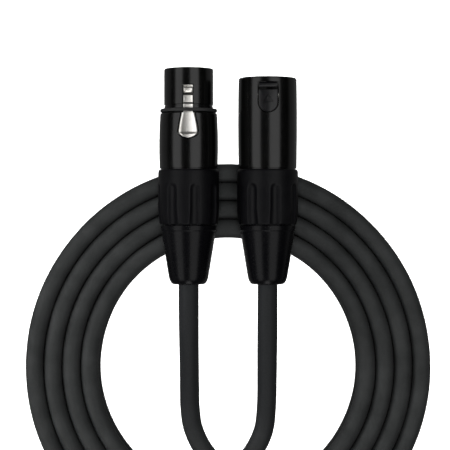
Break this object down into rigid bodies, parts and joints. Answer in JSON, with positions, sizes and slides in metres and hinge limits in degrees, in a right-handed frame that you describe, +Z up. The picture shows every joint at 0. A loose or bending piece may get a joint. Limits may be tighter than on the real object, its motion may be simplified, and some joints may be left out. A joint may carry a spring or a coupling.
{
  "type": "coiled microphone cable",
  "caption": "Coiled balanced microphone cable with a female and a male XLR connector lying side by side on the coil; the female has a spring latch.",
  "frame": {"origin": "under the middle of the whole part, on the surface that the coil lies on", "axes": "+Y points to the connectors' noses, +X from the female connector to the male one, +Z up from the surface"},
  "size_m": [0.1334, 0.1648, 0.0323],
  "materials": {
    "black_chrome": "smooth satin black plating on die-cast zinc",
    "black_nylon": "moulded glass-filled nylon, satin",
    "soft_grip": "fine-textured moulded polyamide",
    "boot_plastic": "smooth moulded elastomer with a soft gloss",
    "chuck_plastic": "moulded acetal",
    "bright_nickel": "bright nickel plate on spring steel",
    "contact_silver": "silver plate on brass",
    "core_shield": "black sleeve over the twisted shield",
    "core_red": "red polyethylene insulation",
    "core_white": "white polyethylene insulation",
    "cable_jacket": "matte extruded PVC",
    "tie_fabric": "hook-and-loop tape"
  },
  "bodies": {
    "cable_set": {"cable_coil": "cable_jacket", "cable_tie": "tie_fabric", "female_cable_end": "cable_jacket", "male_cable_end": "cable_jacket", "female_shell": "black_chrome", "female_barrel": "black_chrome", "female_seal_ring": "black_nylon", "female_insert": "black_nylon", "female_contact_1": "contact_silver", "female_contact_2": "contact_silver", "female_contact_3": "contact_silver", "latch_pin": "bright_nickel", "latch_spring": "bright_nickel", "female_chuck": "chuck_plastic", "female_collar": "soft_grip", "female_boot": "boot_plastic", "female_core_1": "core_shield", "female_core_2": "core_red", "female_core_3": "core_white", "male_shell": "black_chrome", "male_window_tongue": "black_nylon", "male_catch_bar": "black_nylon", "male_insert": "black_nylon", "male_pin_1": "contact_silver", "male_pin_2": "contact_silver", "male_pin_3": "contact_silver", "male_chuck": "chuck_plastic", "male_collar": "soft_grip", "male_boot": "boot_plastic", "male_core_1": "core_shield", "male_core_2": "core_red", "male_core_3": "core_white"},
    "latch": {"latch_lever": "bright_nickel"}
  },
  "joints": [
    {"name": "latch_press", "type": "hinge", "parent": "cable_set", "child": "latch", "pos_m": [-0.0127, 0.06143, 0.0286], "axis": [1, 0, 0], "range_deg": [-5, 0], "stiffness_Nm_per_rad": 0.02, "springref_deg": 5.73, "deforming": ["latch_spring"]}
  ]
}
